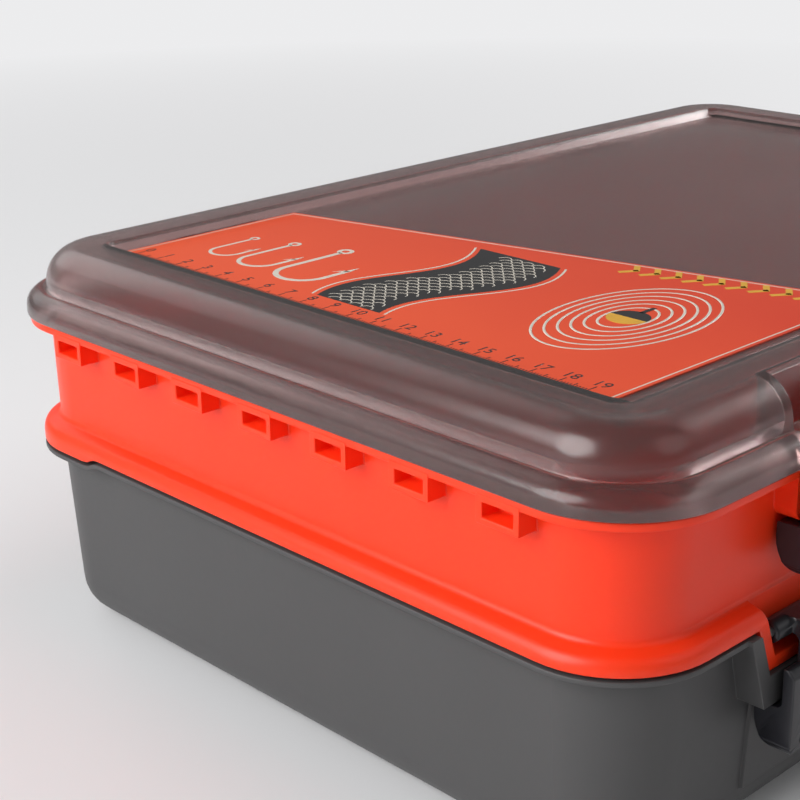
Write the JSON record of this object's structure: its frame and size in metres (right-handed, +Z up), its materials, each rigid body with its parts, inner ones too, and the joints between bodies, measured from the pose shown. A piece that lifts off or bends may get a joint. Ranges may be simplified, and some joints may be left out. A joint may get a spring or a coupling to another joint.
{
  "type": "fishing tackle box",
  "caption": "Two-tier plastic fishing tackle box with a lift-up orange tray on a dark lower box, a smoky domed lid, front latches, rear hinges, dividers and a carrying handle.",
  "frame": {"origin": "centre of the base, on the surface that the box stands on", "axes": "+X along the length to the right, +Y to the hinges at the back, +Z up"},
  "size_m": [0.385, 0.2796, 0.129],
  "materials": {
    "lower_plastic": "fine moulded satin texture",
    "tray_plastic": "semi-gloss moulded",
    "lid_plastic": "smoky translucent",
    "label": "printed film",
    "latch_plastic": "satin",
    "handle_plastic": "satin",
    "tray_divider": "semi-gloss",
    "lower_divider": "satin",
    "steel": "drawn wire"
  },
  "bodies": {
    "lower_box": {"lower_box_shell": "lower_plastic", "tray_hinge_pin_left": "steel", "tray_hinge_pin_right": "steel", "handle_pin_left": "steel", "handle_pin_right": "steel", "lower_divider_long": "lower_divider", "lower_divider_cross_1": "lower_divider", "lower_divider_cross_2": "lower_divider", "lower_divider_cross_3": "lower_divider"},
    "tray": {"tray_shell": "tray_plastic", "lid_hinge_pin_left": "steel", "lid_hinge_pin_right": "steel", "lower_latch_pin_left": "steel", "lower_latch_pin_right": "steel", "tray_divider_1": "tray_divider", "tray_divider_2": "tray_divider", "tray_divider_3": "tray_divider", "tray_divider_4": "tray_divider", "tray_divider_5": "tray_divider", "tray_divider_6": "tray_divider", "tray_divider_7": "tray_divider"},
    "lid": {"lid_shell": "lid_plastic", "lid_label": "label", "upper_latch_pin_left": "steel", "upper_latch_pin_right": "steel"},
    "upper_latch_left": {"upper_latch_left": "latch_plastic"},
    "upper_latch_right": {"upper_latch_right": "latch_plastic"},
    "lower_latch_left": {"lower_latch_left": "latch_plastic"},
    "lower_latch_right": {"lower_latch_right": "latch_plastic"},
    "handle": {"carry_handle": "handle_plastic"}
  },
  "joints": [
    {"name": "tray_hinge", "type": "hinge", "parent": "lower_box", "child": "tray", "pos_m": [0, 0.1363, 0.06915], "axis": [-1, 0, 0], "range_deg": [0, 80]},
    {"name": "lid_hinge", "type": "hinge", "parent": "tray", "child": "lid", "pos_m": [0, 0.1363, 0.10805], "axis": [-1, 0, 0], "range_deg": [0, 100]},
    {"name": "upper_latch_left_pivot", "type": "hinge", "parent": "lid", "child": "upper_latch_left", "pos_m": [-0.1065, -0.1315, 0.1102], "axis": [-1, 0, 0], "range_deg": [0, 95]},
    {"name": "upper_latch_right_pivot", "type": "hinge", "parent": "lid", "child": "upper_latch_right", "pos_m": [0.1065, -0.1315, 0.1102], "axis": [-1, 0, 0], "range_deg": [0, 95]},
    {"name": "lower_latch_left_pivot", "type": "hinge", "parent": "tray", "child": "lower_latch_left", "pos_m": [-0.1065, -0.131, 0.0637], "axis": [-1, 0, 0], "range_deg": [0, 90]},
    {"name": "lower_latch_right_pivot", "type": "hinge", "parent": "tray", "child": "lower_latch_right", "pos_m": [0.1065, -0.131, 0.0637], "axis": [-1, 0, 0], "range_deg": [0, 90]},
    {"name": "handle_pivot", "type": "hinge", "parent": "lower_box", "child": "handle", "pos_m": [0, -0.132, 0.0555], "axis": [-1, 0, 0], "range_deg": [0, 95]}
  ]
}
